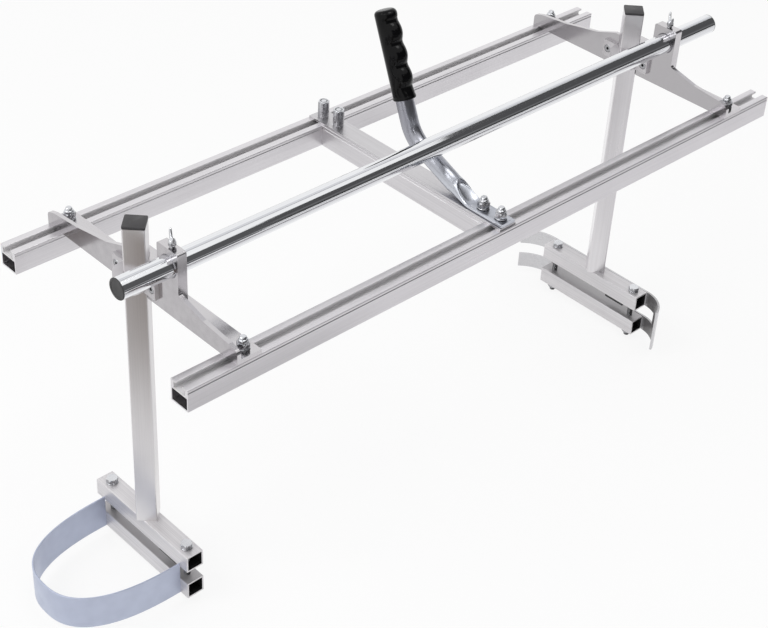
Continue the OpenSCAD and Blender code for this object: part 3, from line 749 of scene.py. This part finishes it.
rubber, tree, shader = new_finish("grip_rubber")
shader.inputs["Specular IOR Level"].default_value = 0.06
shader.inputs["Coat Weight"].default_value = 0.20
shader.inputs["Coat Roughness"].default_value = 0.09
place = object_place(tree)
broad = noise(tree, place, 30.0, 2)
link(tree, blend_colours(tree, broad, (0.001, 0.001, 0.0012, 1), (0.004, 0.004, 0.0045, 1)),
     shader.inputs["Base Color"])
link(tree, spread(tree, broad, 0.3, 0.7, 0.14, 0.22), shader.inputs["Roughness"])
add_relief(tree, shader, noise(tree, place, 420.0, 2), 0.25, 0.00004)
flange_stop, body_steps, end_steps = 0.0015, 110, 8
body_len = grip_len - end_round - flange_stop
steps = [0, 0.0008, flange_stop]
steps += [flange_stop + body_len * i / body_steps for i in range(1, body_steps + 1)]
steps += [grip_len - end_round + end_round * sin(pi / 2 * i / end_steps)
          for i in range(1, end_steps + 1)]
loft("finger_grip", [[grip_ring(d) for d in steps]], rubber, "frame", "handle_grip", 70)

# ---------------------------------------------------------------- end brackets and saddles
# Aluminium angle: a polished upright web, cut to outline, and a flange that is bolted to both
# rails, with an ear for the push bar. A saddle with two socket screws closes round the post.

plate = metal("bracket_plate", (0.50, 0.485, 0.50), (0.43, 0.415, 0.43), 0.13, 0.22,
              (14, 90, 90), 0.000002)
# The bracket at +X takes one flat tone. Painted light: faces that look up, towards -Y or towards +X
# are lightened.
tone_by_place(plate, "X", -0.2, 0.2, (0.445, 0.432, 0.445))
tone_by_side(plate, "Z", 0.6, 0.9, (0.62, 0.605, 0.62))
tone_by_side(plate, "Y", -0.6, -0.9, (0.68, 0.665, 0.68))
tone_by_side(plate, "X", 0.6, 0.9, (0.80, 0.785, 0.80))
dress(plate, "bracket_left", "bracket_right")
saddle_lit_facing_minus_y = metal("saddle_plate", (0.62, 0.605, 0.62), (0.55, 0.535, 0.55), 0.44, 0.56,
                     no_grain, 0.000004)
# Painted light: the saddle's faces towards -Y are lightened almost to white.
tone_by_side(saddle_lit_facing_minus_y, "Y", -0.6, -0.9, (0.95, 0.93, 0.95))
dress(saddle_lit_facing_minus_y, "post_saddle_left", "post_saddle_right")

# Painted shade: the walls and bottom of each hex socket are near black, as the recess lies in
# shade.
socket_shade_black, tree, shader = new_finish("socket_shade_black")
shader.inputs["Base Color"].default_value = (0.012, 0.012, 0.013, 1)
shader.inputs["Roughness"].default_value = 0.6
shader.inputs["Specular IOR Level"].default_value = 0.1
head_r, shank_r, socket_r = 0.0051, 0.003, 0.0022
shank_deep, head_deep, socket_deep = 0.012, 0.0036, 0.0025
screw_sides = 48
for side in ("left", "right"):
    low, high = span("saddle_screws_" + side)
    y_pair, z = (low.y + head_r, high.y - head_r), (low.z + high.z) / 2
    runs = []
    for y in y_pair:
        rings = []
        for depth, r, six in ((shank_deep, shank_r, False), (head_deep, shank_r, False),
                              (head_deep, head_r, False), (0.0005, head_r, False),
                              (0.0001, 0.0047, False), (0.0001, socket_r, True),
                              (socket_deep, socket_r, True)):
            ring = []
            for i in range(screw_sides):
                a = 2 * pi * i / screw_sides
                reach = r * cos(pi / 6) / cos((a + pi / 6) % (pi / 3) - pi / 6) if six else r
                ring.append((low.x + depth, y + reach * cos(a), z + reach * sin(a)))
            rings.append(ring)
        runs.append(rings)
    heads = loft("saddle_screw_pair_" + side, runs, zinc, side + "_bracket",
                 "saddle_screws_" + side)
    heads.data.materials.append(socket_shade_black)
    for face in heads.data.polygons:
        off_axis = min((Vector((low.x, y, z)) - face.center).yz.length for y in y_pair)
        depth = face.center.x - low.x
        on_wall = off_axis < 0.0023 and depth < 0.003 and abs(face.normal.x) < 0.5
        on_bottom = off_axis < 0.0010 and abs(depth - socket_deep) < 0.0003
        if on_wall or on_bottom:
            face.material_index = 1

# ---------------------------------------------------------------- wing screws
# Zinc-plated castings on a threaded shank: they press on the push bar from the top of each
# ear. Two wings spread and rise from a round hub.


def wing_screw(side, turn):
    low, high = span("wing_screw_" + side)
    x, y = span("bracket_" + side)[0].x + 0.006, bar_y
    hub = high.z - 0.016
    runs = [thread(x, y, 0.003, low.z, hub + 0.0008, 0.001),
            turned(x, y, [(0.0036, hub), (0.0044, hub + 0.0008), (0.0043, hub + 0.004),
                          (0.0036, hub + 0.0064), (0.0024, hub + 0.0074),
                          (0.0008, hub + 0.0076)], 32)]
    wing_steps, wing_sides, tip = 14, 20, 0.72
    for facing in (1, -1):
        rings = []
        for i in range(wing_steps + 1):
            t = i / wing_steps
            reach = 0.0028 + 0.0072 * sin(pi / 2 * t)
            wing_z = hub + 0.0036 + (high.z - hub - 0.0045) * t ** 1.25
            rounding = max(0.0, (t - tip) / (1 - tip)) ** 2
            half = 0.0034 * (1 - 0.25 * t) * sqrt(max(0.02, 1 - rounding))
            thick = 0.0019 * (1 - 0.2 * t) * sqrt(max(0.05, 1 - rounding))
            tilt = radians(20 + 55 * (1 - t))
            ring = []
            for k in range(wing_sides):
                a = 2 * pi * k / wing_sides
                across, deep = half * cos(a), thick * sin(a)
                out = facing * (reach + across * sin(tilt))
                ring.append((x + out * cos(turn) - deep * sin(turn),
                             y + out * sin(turn) + deep * cos(turn),
                             wing_z - across * cos(tilt) * 0.5))
            rings.append(ring)
        runs.append(rings)
    loft("wing_screw_cast_" + side, runs, zinc, side + "_wing_screw", "wing_screw_" + side,
         50)


wing_screw("left", radians(62))
wing_screw("right", radians(48))

# ---------------------------------------------------------------- push bar
# Polished, chromed steel tube that slides in the ears of both brackets. A dark plug with a
# rounded rim closes each end.

chrome = metal("chrome_tube", (0.86, 0.87, 0.89), (0.78, 0.79, 0.81), 0.05, 0.11, along_x, 0.000004)
dress(chrome, "push_bar")


def moulded(name, tone, rough):
    """Dull plastic or rubber with a fine grain and a faint cloud of paler and darker places."""
    made, tree, shader = new_finish(name)
    place = object_place(tree)
    cloud = noise(tree, place, 60.0, 2)
    shader.inputs["Specular IOR Level"].default_value = 0.3
    darker = tuple(0.75 * c for c in tone)
    link(tree, blend_colours(tree, cloud, (*tone, 1), (*darker, 1)), shader.inputs["Base Color"])
    link(tree, spread(tree, cloud, 0.3, 0.7, rough - 0.06, rough + 0.06),
         shader.inputs["Roughness"])
    add_relief(tree, shader, noise(tree, place, 900.0, 3, 0.6), 0.3, 0.00008)
    return made


plug_plastic = moulded("plug_plastic", (0.062, 0.061, 0.063), 0.5)
plug_profile = ((0.0106, 0.0135), (0.0106, 0.0016), (0.0125, 0.0015), (0.0125, 0.0007),
                (0.0120, 0.0001), (0.0098, 0.0), (0.0094, 0.0005), (0.0040, 0.0006),
                (0.0008, 0.0006))
plug_sides = 48
for side, outward in (("left", -1), ("right", 1)):
    low, high = span("bar_plug_" + side)
    outer = low.x if outward < 0 else high.x
    y, z = (low.y + high.y) / 2, (low.z + high.z) / 2
    rings = [[(outer - outward * depth, y + r * cos(2 * pi * i / plug_sides),
               z + r * sin(2 * pi * i / plug_sides)) for i in range(plug_sides)]
             for r, depth in plug_profile]
    loft("bar_end_plug_" + side, [rings], plug_plastic, "push_bar", "bar_plug_" + side)

# ---------------------------------------------------------------- height posts and their caps
# Square aluminium tube with rounded corners, turned corner-on to the rails, and closed at
# the top by a dark plastic cap.


def turned_square(x, side, corner, z):
    """A ring of a rounded square that stands on its corner."""
    steps = 6
    ring = []
    inner = side / 2 - corner
    for quarter in range(4):
        for i in range(steps + 1):
            a = quarter * pi / 2 + pi / 2 * i / steps
            px = inner * (1 if quarter in (0, 3) else -1) + corner * cos(a)
            py = inner * (1 if quarter in (0, 1) else -1) + corner * sin(a)
            ring.append((x + (px - py) * sqrt(0.5), (px + py) * sqrt(0.5), z))
    return ring


post_finishes_lit_and_shaded = {
    "left": metal("post_tube_worn_and_lit_low", (0.73, 0.715, 0.725), (0.67, 0.655, 0.665), 0.30, 0.38,
                  along_z, 0.000002),
    "right": metal("post_tube", (0.77, 0.755, 0.77), (0.70, 0.685, 0.70), 0.26, 0.34,
                   along_z, 0.000002),
}
# Painted light: the left post is lightened towards its foot. Painted shade: the right post is
# darkened above the push bar, and painted light lightens its faces towards +Y.
tone_by_place(post_finishes_lit_and_shaded["left"], "Z", -0.20, -0.27, (0.82, 0.80, 0.80))
tone_by_place(post_finishes_lit_and_shaded["right"], "Z", 0.075, 0.10, (0.53, 0.52, 0.53))
tone_by_side(post_finishes_lit_and_shaded["right"], "Y", 0.2, 0.6, (0.90, 0.885, 0.90))
cap_plastic = moulded("cap_plastic", (0.055, 0.053, 0.056), 0.45)
post_side, post_corner = 0.025, 0.0018
for side in ("left", "right"):
    low, high = span("post_" + side)
    x = (low.x + high.x) / 2
    rings = [turned_square(x, post_side, post_corner, z) for z in (low.z, low.z + 0.2, high.z)]
    loft("post_square_tube_" + side, [rings], post_finishes_lit_and_shaded[side], side + "_post", "post_" + side,
         30)
    rim, top = high.z + 0.0007, span("post_cap_" + side)[1].z
    cap_profile = ((0.0232, 0.0012, high.z), (0.0232, 0.0012, rim), (post_side, 0.0019, rim),
                   (post_side, 0.0019, top - 0.0007), (0.0246, 0.0018, top - 0.0002),
                   (0.0238, 0.0015, top))
    rings = [turned_square(x, wide, corner, z) for wide, corner, z in cap_profile]
    loft("post_end_cap_" + side, [rings], cap_plastic, side + "_post", "post_cap_" + side,
         40)

# ---------------------------------------------------------------- bar clamps
# Two lengths of aluminium box section at each end, drawn together by two bolts to grip the
# saw's guide bar. The upper one is welded to the post and carries a rubber pad.

# Painted shade: the hollow inside of each box section is near black.
tube_inside_shade = metal("tube_inside_shade", (0.10, 0.10, 0.105), (0.05, 0.05, 0.052), 0.5, 0.6, along_y,
                    0.000004)
clamp_finishes_with_gap_shade = {
    level: metal(level + "_clamp_tube", (0.78, 0.765, 0.78), (0.60, 0.585, 0.60), 0.32, 0.44,
                 along_y, 0.00001, 0.6)
    for level in ("upper", "lower")
}
# Painted shade: the top faces of the lower tubes, in the gap under the upper ones, are darkened.
tone_by_side(clamp_finishes_with_gap_shade["lower"], "Z", 0.6, 0.9, (0.46, 0.45, 0.46))
clamp_zinc_shaded_in_gap = zinc_with_shaded_sides("clamp_zinc_shaded_in_gap", 0.20, 0.32)
gap_top = span("upper_clamp_left")[0].z
# Painted shade: below the bottom of the upper tube, in the gap between the clamp tubes, the plating
# is darkened almost to black.
tone_by_place(clamp_zinc_shaded_in_gap, "Z", gap_top + 0.004, gap_top, (0.14, 0.14, 0.145))
wall = 0.002
for level, rides_on in (("upper", "_post"), ("lower", "_lower_clamp")):
    for side in ("left", "right"):
        low, high = span(level + "_clamp_" + side)
        half, tall = (high.x - low.x) / 2, high.z - low.z
        outer = [(-half, 0), (half, 0), (half, tall), (-half, tall)]
        inner = [(wall - half, wall), (half - wall, wall), (half - wall, tall - wall),
                 (wall - half, tall - wall)]
        section = [fillet(outer, 0.0009), fillet(inner, 0.0005)]
        tube = extrusion(level + "_clamp_tube_" + side, section,
                         ((low.x + high.x) / 2, low.y, low.z), (0, 1, 0), high.y - low.y,
                         clamp_finishes_with_gap_shade[level], side + rides_on, level + "_clamp_" + side)
        tube.data.materials.append(tube_inside_shade)
        middle = (low + high) / 2
        for face in tube.data.polygons:
            reach = face.center - middle
            if max(abs(reach.x), abs(reach.z) - (tall / 2 - half)) < half - wall + 0.0001:
                face.material_index = 1
dress(moulded("pad_rubber", (0.05, 0.05, 0.052), 0.6), "bar_pad_left", "bar_pad_right")
clamp_bolt_y, clamp_washer = 0.073, 0.0016
for side in ("left", "right"):
    low, high = span("upper_clamp_" + side)
    x, upper_top = (low.x + high.x) / 2, high.z
    at = [(x, -clamp_bolt_y), (x, clamp_bolt_y)]
    low, high = span("clamp_bolts_" + side)
    runs = []
    for (x, y), turn in zip(at, (0.35, 0.1)):
        runs += [thread(x, y, bolt_r, low.z, upper_top + 0.001),
                 washer(x, y, upper_top, upper_top + clamp_washer),
                 hexagon(x, y, upper_top + clamp_washer, high.z, turn)]
    loft("clamp_bolt_pair_" + side, runs, clamp_zinc_shaded_in_gap, side + "_post", "clamp_bolts_" + side)
    low, high = span("clamp_lock_nuts_" + side)
    loft("clamp_lock_nut_pair_" + side, [hexagon(x, y, low.z, high.z, 0.3) for x, y in at],
         clamp_zinc_shaded_in_gap, side + "_post", "clamp_lock_nuts_" + side)
    low, high = span("clamp_nuts_" + side)
    loft("clamp_nut_pair_" + side, [hexagon(x, y, low.z, high.z, 0.8) for x, y in at],
         zinc, side + "_lower_clamp", "clamp_nuts_" + side)

# ---------------------------------------------------------------- nose guard
# Steel strip with a blue-grey coat, bent to a loop round the nose of the guide bar and
# welded to the lower tube.

guard_coat = metal("guard_coat", (0.52, 0.565, 0.70), (0.47, 0.51, 0.64), 0.34, 0.46, no_grain,
                   0.000004, 0.35, 0.1)
low, high = span("nose_guard")
root_x, guard_len, guard_half_w = high.x, high.x - low.x, (high.y - low.y) / 2
strip, edge_round, guard_steps = 0.002, 0.0006, 96


def guard_point(t, shrink):
    """A point of the loop at a turn from -90 to 90 degrees."""
    a, b = guard_len - shrink, guard_half_w - shrink
    c, s = max(cos(t), 0.0), sin(t)
    return (root_x - a * c ** 0.8, b * (1 if s > 0 else -1) * abs(s) ** 0.8)


def guard_section(t):
    """The strip's section there; its corners are given as a share of the way in and a height."""
    (out_x, out_y), (in_x, in_y) = guard_point(t, 0), guard_point(t, strip)
    corners = ((0.0, low.z + edge_round), (0.0, high.z - edge_round), (0.3, high.z), (0.7, high.z),
               (1.0, high.z - edge_round), (1.0, low.z + edge_round), (0.7, low.z), (0.3, low.z))
    return [(out_x + (in_x - out_x) * share, out_y + (in_y - out_y) * share, z)
            for share, z in corners]


turns = [-pi / 2 + pi * (0.5 - 0.5 * cos(pi * i / guard_steps)) for i in range(guard_steps + 1)]
loft("nose_guard_strip", [[guard_section(t) for t in turns]], guard_coat, "left_lower_clamp",
     "nose_guard")

# ---------------------------------------------------------------- bumper plate
# Aluminium plate welded to the upper tube at the powerhead's end: both ends are rolled back,
# and a slot lets the saw's bar and chain through. Painted shade darkens the near curl's inside,
# which is also less metallic.

bumper_sheet = metal("bumper_sheet", (0.66, 0.655, 0.67), (0.56, 0.555, 0.57), 0.24, 0.38, along_y)
tree = bumper_sheet.node_tree
# Painted shade: the inside of the near curl is darkened and made less metallic.
curl_inside_shade = tree.nodes.new("ShaderNodeMath")
curl_inside_shade.operation = "MULTIPLY"
link(tree, spread(tree, place_along(tree, "Y"), -0.084, -0.094, 0, 1), curl_inside_shade.inputs[0])
link(tree, spread(tree, facing_along(tree, "Y"), -0.05, 0.1, 0, 1), curl_inside_shade.inputs[1])
blend_base(tree, curl_inside_shade.outputs[0], (0.19, 0.183, 0.187))
link(tree, spread(tree, curl_inside_shade.outputs[0], 0, 1, 1, 0.1),
     tree.nodes["Principled BSDF"].inputs["Metallic"])
dress(bumper_sheet, "bumper_plate")
